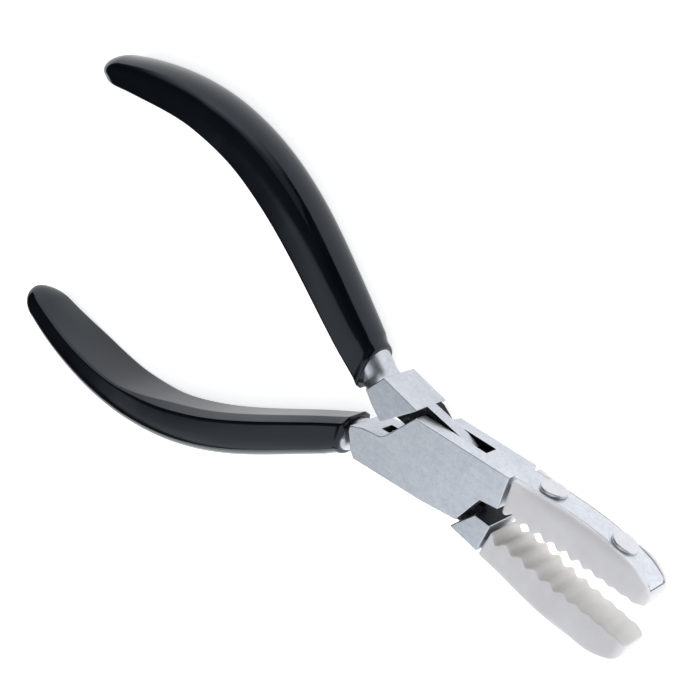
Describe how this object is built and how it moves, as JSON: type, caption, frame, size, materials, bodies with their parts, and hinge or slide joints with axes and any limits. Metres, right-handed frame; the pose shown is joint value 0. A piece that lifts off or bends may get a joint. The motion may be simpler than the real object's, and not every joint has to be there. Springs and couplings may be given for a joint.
{
  "type": "crimping pliers",
  "caption": "Hand pliers with corrugated nylon jaws, a box joint and two dipped grips, for crimping, bending and gripping wire or thin metal without marking it.",
  "frame": {"origin": "on the pivot pin's axis, at the back face of the box joint", "axes": "+Z along the pivot pin from the back face to the front face; +X along the centre line from the pin towards the jaw tips; +Y towards the box half's jaw and away from the tongue half's jaw"},
  "size_m": [0.1468, 0.0713, 0.0117],
  "materials": {
    "steel": "fine satin polish",
    "pin_steel": "ground flush and satin polished with the box",
    "nylon": "milky, slightly translucent nylon, satin",
    "rivet_steel": "smooth domed heads, satin",
    "grip": "smooth glossy dipped vinyl"
  },
  "bodies": {
    "box_side": {"box_half": "steel", "lower_grip": "grip", "upper_nylon_jaw": "nylon", "upper_rear_rivet": "rivet_steel", "upper_front_rivet": "rivet_steel", "pivot_pin": "pin_steel"},
    "tongue_side": {"tongue_half": "steel", "upper_grip": "grip", "lower_nylon_jaw": "nylon", "lower_rear_rivet": "rivet_steel", "lower_front_rivet": "rivet_steel"}
  },
  "joints": [
    {"name": "pliers_hinge", "type": "hinge", "parent": "box_side", "child": "tongue_side", "pos_m": [0, 0, 0.00455], "axis": [0, 0, 1], "range_deg": [-15, 9.5]}
  ]
}
